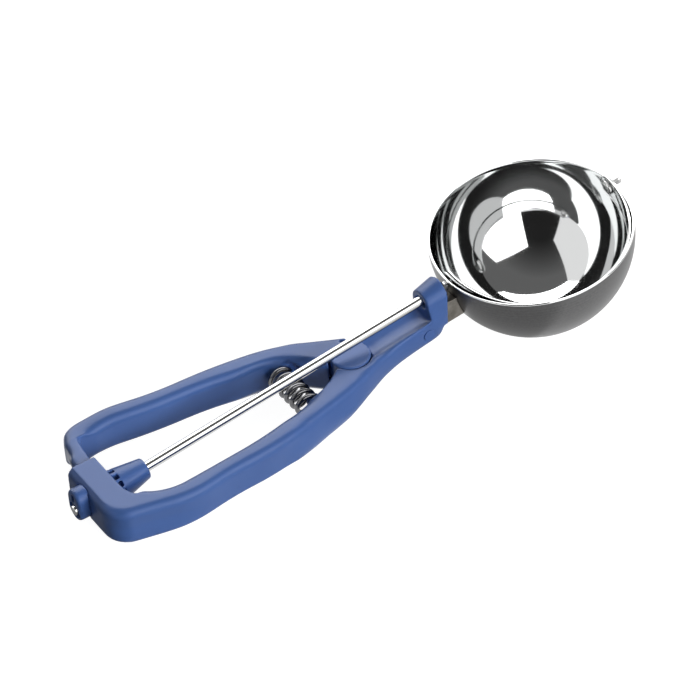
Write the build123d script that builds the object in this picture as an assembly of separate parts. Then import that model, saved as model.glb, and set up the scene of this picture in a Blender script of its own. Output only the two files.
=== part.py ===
from build123d import *
import math
import os

# Lever ice cream scoop, millimetres.
# Part frame: origin at the centre of the bowl's rim plane, +Z out of the bowl,
# +X along the drive rod away from the handle, lever on the +Y side.
# Handle frame (u, y, v): origin on the lever's pivot axis in the plane of the handle's flat
# top, u towards the bowl, v up. It is pitched about Y, so the handle droops behind the bowl.

# ---- Bowl ----
BOWL_R = 30.5              # outer radius of the hemisphere
BOWL_WALL = 0.8
BOWL_LIP = 1.4             # straight lip above the hemisphere; the rod axis lies at its foot
RIM_ROUND = 0.25
ROD_HOLE_GAP = 0.05        # radial gap round the rod's thin end in the bowl's wall
# ---- Scraper blade ----
BLADE_W = 7.4
BLADE_T = 0.7
BLADE_GAP = 0.35           # running gap between the blade and the bowl's inside
BLADE_REST = 8.0           # degrees that the resting blade lies below the rim plane
# ---- Drive rod ----
ROD_R = 1.5
ROD_RUN = 0.06             # radial running clearance in its bearings
ROD_REAR = 92.8            # rear end, behind the lever's pivot
ROD_END_R = 0.95           # thinner end that passes through the bowl's wall
ROD_STEP_GAP = 0.4         # from the bowl's outside to the step down to that end
TENON = 1.3                # side of the square end that carries the blade
SEAT_GAP = 0.02            # clearance of pressed and riveted pieces
CAP_R = 2.5                # riveted cap over the tenon
CAP_T = 0.8
# ---- Far pivot of the blade ----
RIVET_R = 0.95
RIVET_RUN = 0.08
RIVET_HEAD_R = 2.3
RIVET_HEAD_T = 0.7
RIVET_HEAD_GAP = 0.3
RIVET_OUT = 2.0            # length of the rivet's tip outside the bowl
RIVET_TIP_R = 0.85
# ---- Handle frame and arm section ----
PIVOT_BEHIND = 35.3        # from the bowl's outside to the lever's pivot
PIVOT_Z = -5.5
PITCH = 7.2                # degrees
HANDLE_H = 12.2            # thickness of the moulding
BULGE_OUT = 2.7            # widest part of an arm, beyond the land's edge
TOP_ROUND = 2.65           # rounding between the flat land and the widest part
FOOT_OUT = 1.9             # slope under the widest part, in plan
FOOT_RISE = 2.0            # and its height
LAND_ROUND = 0.25
LAND_END = -8.0            # front end of the fixed arm's flat land
# ---- Bridge, the rear cross member ----
BRIDGE_FRONT = -81.0
BRIDGE_REAR = -88.4
REAR_BULGE = 1.5           # how far the rear wall stands out from the land, less than an arm
SLEEVE_END = 8.3           # open end of the sleeve that takes the lever's tail
CORNER_U = -81.9           # centre of the round corner to the fixed arm
CORNER_Y = -8.2
INNER_CORNER_R = 3.0
# ---- Lever, its pivot and travel ----
KNUCKLE_R = 6.0
KNUCKLE_GAP = 0.3
KNUCKLE_BOTTOM = -8.4
MOUTH_CORNER = (3.3, 6.6)  # where the socket's mouth meets the side of the fixed arm
FLOOR_GAP = 0.2
PIN_R = 2.0
PIN_RUN = 0.06
PIN_HEAD_R = 3.6
PIN_HEAD_T = 1.2
PIN_TOP = -1.8
LEVER_TRAVEL = 7.1         # degrees
SIDE_GAP = 0.3             # between the lever's front end and the side of the fixed arm
# ---- Rack and pinion ----
GEAR_MODULE = 0.6
PINION_TEETH = 12
WHEEL_TEETH = 283          # full circle of which the lever carries a sector
GEAR_FACE = 3.0
ADDENDUM_PINION = 0.55
ADDENDUM_RACK = 0.38       # short, so that it clears the pinion's undercut
TIP_GAP = 0.22
BACKLASH = 0.16
PRESSURE = 20.0            # degrees
RACK_FIRST = -2
RACK_LAST = 7
# ---- Tail in the sleeve ----
ROOF = 1.0                 # bridge wall above and below the tail
SLIDE = 0.25               # clearance round the sliding tail
TAIL_INSIDE = 2.45         # from the rack's pitch circle to the tail's two sides
TAIL_OUTSIDE = 2.4
TAIL_TOP_ROUND = 1.6
TAIL_FOOT_ROUND = 4.0
TAIL_RIB = 0.8
TAIL_RIB_BOTTOM = -4.8
TAIL_END_R = 5.7
WINDOW_END = 15.2
# ---- Front arm and tower ----
TOWER_REAR = 24.8
TOWER_FRONT = 31.35
TOWER_REAR_W = 4.0         # half width of its arch at the rear, narrower than at the front
TOWER_HALF_W = 4.9
TOWER_REAR_RISE = 4.2      # crown of the arch above the rod axis
TOWER_FRONT_RISE = 5.6
TOWER_SPLAY = 1.5          # how far the rear face widens towards the arm
UNDER_ROUND = 3.6          # rounding along the underside of the front arm
CHIN_ROUND = 3.0
TROUGH_R = 6.8             # channel under the rod, between knuckle and tower
BUSH_R = 2.3
BUSH_FLANGE_R = 2.9
BUSH_FLANGE_T = 1.3
BUSH_SUNK = 0.9            # its rear end, from the foot of the tower's rear face
# ---- Shank between tower and bowl ----
SHANK_HALF_W = 3.6
SHANK_TOP = -4.5
SHANK_BOTTOM = -12.0
TONGUE_HALF_W = 2.2
TONGUE_T = 2.8
TONGUE_L = 15.5            # behind the bowl's outside
SHANK_PIN_R = 0.9
SHANK_PIN_U = 24.0
SHANK_PIN_V = -2.4
# ---- Hub cone on the bridge's front ----
HUB_PLUG_R = 4.45
HUB_BASE_R = 5.3
HUB_TIP_R = 3.1
HUB_TIP = 69.7             # behind the lever's pivot
HUB_SLOTS = 12
HUB_SLOT_W = 1.4
HUB_SLOT_TURN = 16.0       # degrees of the first slot from the top
HUB_SLOT_L = 2.6
# ---- Rear cap ----
CAP_WIDE = 6.8
CAP_TALL = 10.4
CAP_MID_V = -5.7
CAP_SEAT = -89.2           # floor of its pocket in the bridge
CAP_REAR = -93.2
CAP_FIT = 0.05
CAP_BORE_R = 2.7
CAP_BORE = 92.1            # step of its bore, behind the lever's pivot
RING_R = 2.3
RING_T = 0.4
RING_GAP = 0.12
# ---- Return spring ----
SPRING_U = -16.3
SPRING_V = -5.2
SPRING_OD = 7.2
WIRE = 1.2
SPRING_TURNS = 5.5
SPRING_Y0 = -6.9
SPRING_Y1 = 8.3
PEG_R = 2.2
PEG_L = 2.6
SEAT_R = 3.9
COIL_GAP = 0.4             # clearance from the coil to the flanks of both arms

os.makedirs("parts", exist_ok=True)

ROD_Z = -BOWL_LIP
PIVOT_X = -BOWL_R - PIVOT_BEHIND
ROD_REAR_X = PIVOT_X - ROD_REAR
HUB_TIP_X = PIVOT_X - HUB_TIP
CAP_BORE_X = PIVOT_X - CAP_BORE
TONGUE_REAR = -BOWL_R - TONGUE_L
HANDLE = Location((PIVOT_X, 0, PIVOT_Z), (0, PITCH, 0))
SIN, COS = math.sin(math.radians(PITCH)), math.cos(math.radians(PITCH))
BLADE_R = BOWL_R - BOWL_WALL - BLADE_GAP
PITCH_R = GEAR_MODULE * PINION_TEETH / 2
WHEEL_R = GEAR_MODULE * WHEEL_TEETH / 2
TAIL_IN_R = WHEEL_R - TAIL_INSIDE
TAIL_OUT_R = WHEEL_R + TAIL_OUTSIDE
TOOTH_STEP = 360 / WHEEL_TEETH
TOOTH_PITCH = math.pi * GEAR_MODULE
TAIL_TOP = -ROOF - SLIDE
TAIL_BOTTOM = -HANDLE_H + ROOF + SLIDE
FAR = 200.0                # reach of cutting blocks


# ---- Shared shapes ----
def rod_x(u):
    """Part-frame X at which the rod axis crosses the handle's plane u."""
    return PIVOT_X + (u + (ROD_Z - PIVOT_Z) * SIN) / COS


def along_rod(radius, x0, x1):
    """Cylinder about the rod axis, in the part frame."""
    along = (Align.CENTER, Align.CENTER, Align.MIN)
    return Pos(x0, 0, ROD_Z) * Rot(0, 90, 0) * Cylinder(radius, x1 - x0, align=along)


def post(radius, u, y, v0, v1):
    """Upright cylinder in the handle frame."""
    along = (Align.CENTER, Align.CENTER, Align.MIN)
    return Pos(u, y, v0) * Cylinder(radius, v1 - v0, align=along)


def slab(outline, v0, v1):
    """Plan outline extruded from v0 up to v1."""
    return Pos(0, 0, v0) * extrude(outline, v1 - v0, dir=(0, 0, 1))


def block(lo, hi):
    """Box between two corners."""
    size = [b - a for a, b in zip(lo, hi)]
    mid = [(a + b) / 2 for a, b in zip(lo, hi)]
    return Pos(*mid) * Box(*size)


def ball(radius):
    return Pos(0, 0, ROD_Z) * Sphere(radius)


def level_edges(shape, height):
    """Edges that lie wholly at one height."""
    found = []
    for edge in shape.edges():
        box = edge.bounding_box()
        if abs(box.min.Z - height) < 0.01 and abs(box.max.Z - height) < 0.01:
            found.append(edge)
    return found


def pillow(outline):
    """Bulging flank of an arm: a widened slab, rounded above and sloped below."""
    body = slab(offset(outline, BULGE_OUT), -HANDLE_H, 0)
    body = fillet(level_edges(body, 0), TOP_ROUND)
    foot = [f for f in body.faces() if abs(f.center().Z + HANDLE_H) < 0.01
            and abs(abs(f.normal_at().Z) - 1) < 1e-4][0]
    return chamfer(foot.edges(), FOOT_OUT, FOOT_RISE, reference=foot)


def rounded_land(outline):
    """Full-height slab under the flat land, with the rims of its long sides rounded."""
    body = slab(outline, -HANDLE_H, 0)
    rims = level_edges(body, 0) + level_edges(body, -HANDLE_H)
    longest = max(edge.length for edge in rims)
    return fillet([edge for edge in rims if edge.length > longest / 2], LAND_ROUND)


def sector(r_in, r_out, v0, v1):
    """Half ring about the pivot axis on the bridge's side."""
    ring = post(r_out, 0, 0, v0, v1) - post(r_in, 0, 0, v0 - 1, v1 + 1)
    return ring & block((-FAR, -FAR, v0), (0, FAR, v1))


# ---- Outlines in plan, handle frame ----
def heading(degrees):
    return (math.cos(math.radians(degrees)), math.sin(math.radians(degrees)))


def arc_chain(start, degrees, points):
    """Run of arcs through the points, each tangent to the one before it."""
    edges = []
    direction = heading(degrees)
    for point in points:
        edge = TangentArc(start, point, tangent=direction)
        edges.append(edge)
        start, direction = point, edge % 1
    return edges


def frame_outline(held_back=0):
    """Flat land of the bridge and the fixed arm, with the rear edge held back from its place."""
    rear, corner_y = BRIDGE_REAR + held_back, CORNER_Y - held_back
    radius = CORNER_U - rear
    lean = 13
    foot = heading(270 - lean)
    middle = heading(225 - lean / 2)
    outer_start = (CORNER_U + radius * foot[0], corner_y + radius * foot[1])
    corner_mid = (CORNER_U + radius * middle[0], corner_y + radius * middle[1])
    inner_start = (BRIDGE_FRONT, CORNER_Y + INNER_CORNER_R)
    inner_end, outer_end = (LAND_END, -6.6), (LAND_END, -9.4)
    inner = [(-76.0, -14.0), (-65.0, -16.7), (-46.0, -15.5), (-20.0, -10.7), inner_end]
    outer = [(-72.0, -17.3), (-60.0, -17.9), (-46.0, -16.7), (-20.0, -12.4), outer_end]
    return make_face([
        Line((BRIDGE_FRONT, SLEEVE_END), inner_start), *arc_chain(inner_start, -90, inner),
        Line(inner_end, outer_end), *arc_chain(outer_start, -lean, outer),
        ThreePointArc(outer_start, corner_mid, (rear, corner_y)),
        Line((rear, corner_y), (rear, SLEEVE_END)),
        Line((rear, SLEEVE_END), (BRIDGE_FRONT, SLEEVE_END)),
    ])


def front_outline():
    """Fixed arm from the spring to the tower, with the disc under the knuckle."""
    inner_start, inner_end = (-24.0, -11.0), (-6.1, -2.2)
    side_start, side_end = (2.7, 5.9), (TOWER_FRONT, TOWER_HALF_W)
    outer_start, outer_end = (TOWER_FRONT, -TOWER_HALF_W), (-24.0, -16.0)
    outer = [(17.0, -5.4), (3.0, -8.6), (-12.0, -13.4), outer_end]
    return make_face([
        Line(outer_end, inner_start), *arc_chain(inner_start, 20, [(-14.0, -7.0), inner_end]),
        ThreePointArc(inner_end, (-4.6, 4.6), side_start),
        *arc_chain(side_start, -5, [(14.0, 5.1), side_end]), Line(side_end, outer_start),
        *arc_chain(outer_start, 180, outer),
    ])


def lever_outline():
    """Flat land of the lever from its elbow to the knuckle."""
    elbow_in, elbow_out = (-79.7, 17.0), (-83.2, 17.0)
    inner_start, outer_start = (-79.2, 18.3), (3.0, 5.2)
    inner = [(-76.6, 20.5), (-66.0, 20.2), (-47.0, 17.8), (-30.0, 15.2), (-22.4, 13.2),
             (-14.0, 9.0), (-5.2, 3.0)]
    outer = [(-8.0, 10.9), (-24.0, 16.4), (-46.0, 18.8), (-62.0, 20.8), (-77.0, 22.5),
             elbow_out]
    return make_face([
        Line(elbow_out, elbow_in), Line(elbow_in, inner_start),
        *arc_chain(inner_start, 73, inner), Line(inner[-1], outer_start),
        *arc_chain(outer_start, 153, outer),
    ])


# ---- Steel pieces at the bowl ----
def bowl():
    inner = BOWL_R - BOWL_WALL
    bottom = ROD_Z - BOWL_R
    slant = math.sqrt(0.5)
    outline = make_face([
        ThreePointArc((0, bottom), (BOWL_R * slant, ROD_Z - BOWL_R * slant), (BOWL_R, ROD_Z)),
        Line((BOWL_R, ROD_Z), (BOWL_R, 0)),
        Line((BOWL_R, 0), (inner, 0)),
        Line((inner, 0), (inner, ROD_Z)),
        ThreePointArc((inner, ROD_Z), (inner * slant, ROD_Z - inner * slant),
                      (0, ROD_Z - inner)),
        Line((0, ROD_Z - inner), (0, bottom)),
    ])
    shell = revolve(Plane.XZ * outline, Axis.Z)
    shell = Rot(0, 0, 90) * fillet(level_edges(shell, 0), RIM_ROUND)
    shell -= along_rod(ROD_END_R + ROD_HOLE_GAP, -BOWL_R - 1, -BOWL_R / 2)
    return shell - along_rod(RIVET_R + SEAT_GAP, BOWL_R / 2, BOWL_R + 1)


def bowl_shank():
    block_rear = rod_x(TOWER_FRONT) - 4
    body = block((block_rear, -SHANK_HALF_W, SHANK_BOTTOM),
                 (-BOWL_R / 2, SHANK_HALF_W, SHANK_TOP))
    body &= HANDLE * block((TOWER_FRONT, -FAR, -FAR), (FAR, FAR, FAR))
    body = body - ball(BOWL_R + SEAT_GAP)
    body = max(body.solids(), key=lambda s: s.volume)
    tongue = block((TONGUE_REAR, -TONGUE_HALF_W, SHANK_BOTTOM),
                   (-BOWL_R - 2, TONGUE_HALF_W, SHANK_BOTTOM + TONGUE_T))
    body = body + (tongue - ball(BOWL_R + SEAT_GAP))
    return body - shank_pin_space(SEAT_GAP)


def shank_pin_space(gap):
    """Cross pin through tongue and arm, from side to side of the front arm."""
    half = TOWER_HALF_W + 0.6
    pin = Pos(SHANK_PIN_U, 0, SHANK_PIN_V) * Rot(90, 0, 0) * Cylinder(
        SHANK_PIN_R + gap, 2 * half)
    return HANDLE * pin


def shank_pin():
    half = TOWER_HALF_W - 0.1
    pin = Pos(SHANK_PIN_U, 0, SHANK_PIN_V) * Rot(90, 0, 0) * Cylinder(SHANK_PIN_R, 2 * half)
    return HANDLE * pin


def rod_bush():
    front = rod_x(TOWER_FRONT)
    body = along_rod(BUSH_R, rod_x(TOWER_REAR) + BUSH_SUNK, front + BUSH_FLANGE_T)
    flange = along_rod(BUSH_FLANGE_R, front - 2, front + BUSH_FLANGE_T)
    body += flange & (HANDLE * block((TOWER_FRONT, -FAR, -FAR), (FAR, FAR, FAR)))
    return body - along_rod(ROD_R + ROD_RUN, ROD_REAR_X, 0)


def far_pivot_rivet():
    head_face = BLADE_R - BLADE_T - RIVET_HEAD_GAP
    head = along_rod(RIVET_HEAD_R, head_face - RIVET_HEAD_T, head_face)
    head = fillet(head.edges().group_by(Axis.X)[0], RIVET_HEAD_T * 0.6)
    body = head + along_rod(RIVET_R, head_face, BOWL_R + 0.5)
    tip = along_rod(RIVET_TIP_R, BOWL_R, BOWL_R + RIVET_OUT)
    return body + fillet(tip.edges().group_by(Axis.X)[-1], 0.3)


def scraper_blade():
    shell = ball(BLADE_R) - ball(BLADE_R - BLADE_T)
    half = BLADE_W / 2
    band = block((-FAR, -FAR, ROD_Z - half), (FAR, 0, ROD_Z + half))
    band += along_rod(half, -FAR, FAR)
    blade = shell & band
    blade = Pos(0, 0, ROD_Z) * Rot(BLADE_REST, 0, 0) * Pos(0, 0, -ROD_Z) * blade
    tenon_hole = TENON + 2 * SEAT_GAP
    blade -= block((-FAR, -tenon_hole / 2, ROD_Z - tenon_hole / 2),
                   (-BOWL_R / 2, tenon_hole / 2, ROD_Z + tenon_hole / 2))
    return blade - along_rod(RIVET_R + RIVET_RUN, BOWL_R / 2, FAR)


def blade_cap():
    inside = BLADE_R - BLADE_T
    body = along_rod(CAP_R, -inside - 1, -inside + CAP_T)
    body = fillet(body.edges().group_by(Axis.X)[-1], CAP_T * 0.5)
    body &= ball(inside - SEAT_GAP)
    hole = TENON + 2 * SEAT_GAP
    return body - block((-FAR, -hole / 2, ROD_Z - hole / 2), (0, hole / 2, ROD_Z + hole / 2))


# ---- Rod, pinion and bearings ----
def drive_rod():
    shoulder = -BLADE_R - SEAT_GAP
    end = -(BLADE_R - BLADE_T) + CAP_T - 0.1
    body = along_rod(ROD_R, ROD_REAR_X, -BOWL_R - ROD_STEP_GAP)
    body = fillet(body.edges().group_by(Axis.X)[0], 0.3)
    body += along_rod(ROD_END_R, -BOWL_R - ROD_STEP_GAP - 0.5, shoulder)
    half = TENON / 2
    return body + block((shoulder - 0.5, -half, ROD_Z - half), (end, half, ROD_Z + half))


def mesh_x():
    """Part-frame X of the pinion's middle, where its top touches the rack's pitch circle."""
    over = ROD_Z + PITCH_R - PIVOT_Z
    return PIVOT_X + (-WHEEL_R + over * SIN) / COS


def involute_point(base_r, radius, half_angle):
    """Point of an involute flank whose tooth spans half_angle each side at the base."""
    roll = math.sqrt((radius / base_r) ** 2 - 1)
    angle = half_angle - (roll - math.atan(roll))
    return (radius * math.sin(angle), radius * math.cos(angle))


def pinion_tooth():
    """One tooth pointing up, from inside the root circle to the tip."""
    base_r = PITCH_R * math.cos(math.radians(PRESSURE))
    tip_r = PITCH_R + ADDENDUM_PINION
    root_r = PITCH_R - ADDENDUM_RACK - TIP_GAP
    thickness = TOOTH_PITCH / 2 - BACKLASH / 2
    roll = math.tan(math.radians(PRESSURE))
    half = thickness / 2 / PITCH_R + (roll - math.radians(PRESSURE))
    radii = [base_r + (tip_r - base_r) * i / 3 for i in range(4)]
    right = [involute_point(base_r, r, half) for r in radii]
    left = [(-x, z) for x, z in right]
    foot = (root_r - 0.3) * math.sin(half), (root_r - 0.3) * math.cos(half)
    return make_face([
        Line((-foot[0], foot[1]), foot), Line(foot, right[0]), Spline(*right),
        ThreePointArc(right[-1], (0, tip_r), left[-1]), Spline(*reversed(left)),
        Line(left[0], (-foot[0], foot[1])),
    ])


def drive_pinion():
    root_r = PITCH_R - ADDENDUM_RACK - TIP_GAP
    wheel = Cylinder(root_r, GEAR_FACE)
    tooth = extrude(pinion_tooth(), GEAR_FACE / 2, both=True)
    for i in range(PINION_TEETH):
        wheel += Rot(0, 0, 360 / PINION_TEETH * i) * tooth
    wheel = Pos(mesh_x(), 0, ROD_Z) * (Plane.YZ * wheel)
    return wheel - along_rod(ROD_R + SEAT_GAP, ROD_REAR_X, 0)


def hub_cone():
    face_x = rod_x(BRIDGE_FRONT)
    length = HUB_TIP_X - face_x
    cone = Pos(face_x, 0, ROD_Z) * Rot(0, 90, 0) * Cone(
        HUB_BASE_R, HUB_TIP_R, length, align=(Align.CENTER, Align.CENTER, Align.MIN))
    cone = fillet(cone.edges().group_by(Axis.X)[-1], 0.6)
    skirt = along_rod(HUB_BASE_R, face_x - 1.5, face_x)
    ahead = HANDLE * block((BRIDGE_FRONT, -FAR, -FAR), (FAR, FAR, FAR))
    body = (cone + skirt) & ahead
    for i in range(HUB_SLOTS):
        slot = block((face_x - 2, -HUB_SLOT_W / 2, HUB_TIP_R + 0.8),
                     (face_x + HUB_SLOT_L, HUB_SLOT_W / 2, HUB_BASE_R + 1))
        body -= Pos(0, 0, ROD_Z) * Rot(HUB_SLOT_TURN + 360 / HUB_SLOTS * i, 0, 0) * slot
    plug = along_rod(HUB_PLUG_R, face_x - 4, face_x + 0.8)
    plug -= HANDLE * post(FAR, 0, 0, -FAR, FAR) - HANDLE * post(
        TAIL_IN_R - SLIDE, 0, 0, -FAR, FAR)
    return (body + plug) - along_rod(ROD_R + ROD_RUN, ROD_REAR_X, 0)


def cap_prism(gap, u0, u1):
    """Oval prism of the rear cap, standing on the bridge's back."""
    oval = SlotCenterToCenter(CAP_TALL - CAP_WIDE, CAP_WIDE + 2 * gap)
    oval = Rot(0, 0, 90) * oval
    prism = extrude(oval, u1 - u0, dir=(0, 0, 1))
    return Pos(u0, 0, CAP_MID_V) * (Plane.YZ * prism)


def rear_bearing_cap():
    body = cap_prism(0, CAP_REAR, CAP_SEAT)
    body = fillet(body.edges().group_by(Axis.X)[0], 1.1)
    body -= block((CAP_REAR - 1, -0.6, -4.4), (CAP_REAR + 1.2, 0.6, -1.8))
    body = HANDLE * body
    body -= along_rod(CAP_BORE_R, -FAR, CAP_BORE_X)
    return body - along_rod(ROD_R + ROD_RUN, -FAR, 0)


def rod_retaining_ring():
    front = CAP_BORE_X - RING_GAP
    ring = along_rod(RING_R, front - RING_T, front)
    return ring - along_rod(ROD_R + SEAT_GAP, -FAR, 0)


# ---- Moulded handle ----
def spring_seat(y, side):
    """Flat seat and centring peg moulded on an arm; side is the way the peg points."""
    along = (Align.CENTER, Align.CENTER, Align.MIN)
    peg = Cylinder(PEG_R, PEG_L + 1, align=along)
    seat = Cylinder(SEAT_R, 3.5, align=along)
    turn = Rot(-90 * side, 0, 0)
    return (Pos(SPRING_U, y - side, SPRING_V) * turn * peg
            + Pos(SPRING_U, y - 3.5 * side, SPRING_V) * turn * seat)


def coil_space(y, side):
    """Room round the spring in front of a seat."""
    along = (Align.CENTER, Align.CENTER, Align.MIN)
    room = Cylinder(SPRING_OD / 2 + COIL_GAP, FAR, align=along)
    return Pos(SPRING_U, y, SPRING_V) * Rot(-90 * side, 0, 0) * room


def cavity():
    """Space in the bridge through which the lever's tail slides."""
    v0, v1 = -HANDLE_H + ROOF, -ROOF
    band = sector(TAIL_IN_R - SLIDE, TAIL_OUT_R + SLIDE, v0, v1)
    straight = band & block((-FAR, CORNER_Y, v0), (0, SLEEVE_END + 10, v1))
    rounded = band & post(TAIL_END_R + SLIDE, CORNER_U, CORNER_Y, v0, v1)
    return straight + rounded


def rod_v(u):
    """Height of the rod axis over the handle's land plane."""
    return (ROD_Z - PIVOT_Z + u * SIN) / COS


def tower_section(u, half_width, rise, foot_width):
    """Arch round the rod's bearing, across the handle."""
    crown = rod_v(u) + rise
    spring_line = crown - half_width * 0.8
    outline = make_face([
        Line((-foot_width, -2.0), (-half_width, spring_line)),
        ThreePointArc((-half_width, spring_line), (0, crown), (half_width, spring_line)),
        Line((half_width, spring_line), (foot_width, -2.0)),
        Line((foot_width, -2.0), (-foot_width, -2.0)),
    ])
    return Pos(u, 0, 0) * (Plane.YZ * outline)


def tower():
    rear = tower_section(TOWER_REAR, TOWER_REAR_W, TOWER_REAR_RISE,
                         TOWER_REAR_W + TOWER_SPLAY)
    front = tower_section(TOWER_FRONT, TOWER_HALF_W, TOWER_FRONT_RISE, TOWER_HALF_W)
    return loft([rear, front], ruled=True)


def front_arm():
    """Arm from the spring to the tower's foot, drawn in side view and trimmed in plan."""
    chin_foot = (TOWER_FRONT, 5.4 - HANDLE_H)
    chin_top = (TOWER_FRONT, chin_foot[1] + 0.8)
    lift_start, lift_end = (-18.0, -HANDLE_H), (0.0, 1.2 - HANDLE_H)
    crest = rod_v(TOWER_FRONT) - TROUGH_R + 1.5
    side = make_face([
        *Polyline((-30, -HANDLE_H), (-30, 0), (8, 0), (TOWER_REAR, crest),
                  (TOWER_FRONT, crest), chin_top, chin_foot, lift_end).edges(),
        *arc_chain(lift_start, 0, [lift_end]), Line(lift_start, (-30, -HANDLE_H)),
    ])
    body = extrude(Plane.XZ * side, FAR / 4, both=True)
    chin = [e for e in body.edges() if e.bounding_box().size.Y > 1
            and abs(e.center().X - TOWER_FRONT) < 0.1 and e.center().Z < chin_top[1] - 0.5]
    body = fillet(chin, CHIN_ROUND)
    body &= slab(front_outline(), -HANDLE_H - 1, 20)
    long = [e for e in body.edges() if e.center().Y < -4.0
            and e.bounding_box().size.Z < 6 and e.bounding_box().size.X > 1]
    outer = [e for e in long if e.center().X > -5.0 or e.center().Y < -10.0]
    body = fillet([e for e in outer if e.center().Z < -HANDLE_H * 0.45], UNDER_ROUND)
    return body


def fixed_handle():
    outline = frame_outline()
    body = rounded_land(outline)
    flank = pillow(frame_outline(BULGE_OUT - REAR_BULGE))
    opening = block((BRIDGE_FRONT, CORNER_Y - INNER_CORNER_R, -HANDLE_H), (-60, 20, 0))
    rear_edge = [e for e in opening.edges() if e.bounding_box().size.Z > 1
                 and e.center().X < -80 and e.center().Y < 0]
    flank -= fillet(rear_edge, INNER_CORNER_R)
    flank &= block((-FAR, -FAR, -FAR), (LAND_END, SLEEVE_END, FAR))
    body = body + flank + front_arm() + tower()
    floor = KNUCKLE_BOTTOM - FLOOR_GAP
    socket = post(KNUCKLE_R + KNUCKLE_GAP, 0, 0, floor, 20)
    mouth = make_face(Polyline((0, 0), MOUTH_CORNER, (MOUTH_CORNER[0], 12), (-12, 12),
                               (-12, -3.0), (-6.4, -2.35), close=True))
    body -= socket + slab(mouth, floor, 20)
    body -= cavity()
    body -= cap_prism(CAP_FIT, CAP_REAR, CAP_SEAT)
    body -= post(PIN_R + SEAT_GAP, 0, 0, -20, 0)
    body -= post(PIN_HEAD_R + SEAT_GAP, 0, 0, -20, -HANDLE_H + PIN_HEAD_T)
    body -= coil_space(SPRING_Y0, 1)
    body = HANDLE * (body + spring_seat(SPRING_Y0, 1))
    trough_end = rod_x(TOWER_REAR)
    body -= along_rod(TROUGH_R, rod_x(0), trough_end)
    body -= along_rod(BUSH_R + SEAT_GAP, rod_x(0), 0)
    body -= along_rod(ROD_R + ROD_RUN, -FAR, rod_x(CAP_SEAT) + 5)
    body -= along_rod(HUB_PLUG_R + SEAT_GAP, rod_x(BRIDGE_FRONT) - 1.8, rod_x(0))
    gap = CAP_FIT
    body -= block((TONGUE_REAR - gap, -TONGUE_HALF_W - gap, SHANK_BOTTOM - gap),
                  (0, TONGUE_HALF_W + gap, SHANK_BOTTOM + TONGUE_T + gap))
    return body - shank_pin_space(SEAT_GAP)


def rack_tooth():
    """Prism parallel to the rod, hanging under the rack at the mesh, in the part frame."""
    tip = -ADDENDUM_RACK
    root = ADDENDUM_PINION + TIP_GAP + 0.4
    half = (TOOTH_PITCH / 2 - BACKLASH / 2) / 2
    lean = math.tan(math.radians(PRESSURE))
    profile = make_face(Polyline(
        (-half - root * lean, root), (-half + -tip * lean, tip),
        (half - -tip * lean, tip), (half + root * lean, root), close=True))
    tooth = extrude(profile, GEAR_FACE / 2 + 0.35, both=True)
    return Pos(mesh_x(), 0, ROD_Z + PITCH_R) * (Plane.YZ * tooth)


def rack_teeth():
    """Sector of crown-wheel teeth, each turned about the pivot axis, handle frame."""
    tooth = HANDLE.inverse() * rack_tooth()
    return [Rot(0, 0, -TOOTH_STEP * (k + 0.5)) * tooth for k in range(RACK_FIRST, RACK_LAST + 1)]


def tail():
    """Part of the lever that slides in the sleeve: block, rack beam and stiffening rib."""
    pitch_v = -WHEEL_R * SIN / COS + (ROD_Z + PITCH_R - PIVOT_Z) / COS
    root_v = pitch_v + (ADDENDUM_PINION + TIP_GAP)
    elbow = block((-FAR, WINDOW_END, TAIL_BOTTOM), (-60, WINDOW_END + 6, TAIL_TOP))
    envelope = sector(TAIL_IN_R, TAIL_OUT_R, TAIL_BOTTOM, TAIL_TOP)
    rims = [e for e in envelope.edges() if e.bounding_box().size.Z < 0.01
            and e.length > TAIL_OUT_R * 3]
    envelope = fillet([e for e in rims if e.center().Z > -5], TAIL_TOP_ROUND)
    rims = [e for e in envelope.edges() if e.bounding_box().size.Z < 0.01
            and e.length > TAIL_OUT_R * 3 and e.center().Z < -5]
    envelope = fillet(rims, TAIL_FOOT_ROUND)
    solid_end = envelope & elbow
    turned = Rot(0, 0, -LEVER_TRAVEL) * Pos(CORNER_U, CORNER_Y, 0)
    centre = turned.position
    reach = block((-FAR, centre.Y, TAIL_BOTTOM), (-60, WINDOW_END + 1, TAIL_TOP))
    reach += post(TAIL_END_R, centre.X, centre.Y, TAIL_BOTTOM, TAIL_TOP)
    beam = sector(TAIL_IN_R, TAIL_OUT_R, root_v, TAIL_TOP) & reach
    rib = sector(TAIL_OUT_R - TAIL_RIB, TAIL_OUT_R, TAIL_RIB_BOTTOM, TAIL_TOP) & reach
    body = solid_end + (envelope & (beam + rib))
    limit = sector(TAIL_IN_R, TAIL_OUT_R, TAIL_RIB_BOTTOM, TAIL_TOP) & reach
    for tooth in rack_teeth():
        body += tooth & limit
    return body


def arm_side(gap):
    """Plan of everything beyond the side of the fixed arm that the lever's end comes up to."""
    line_foot, line_top = (0.0, 0.0), MOUTH_CORNER
    return make_face(Polyline((line_foot[0] - gap, line_foot[1]), (line_top[0] - gap, line_top[1]),
                              (line_top[0] - gap, FAR), (FAR, FAR), (FAR, -FAR),
                              (line_foot[0] - gap, -FAR), close=True))


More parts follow.
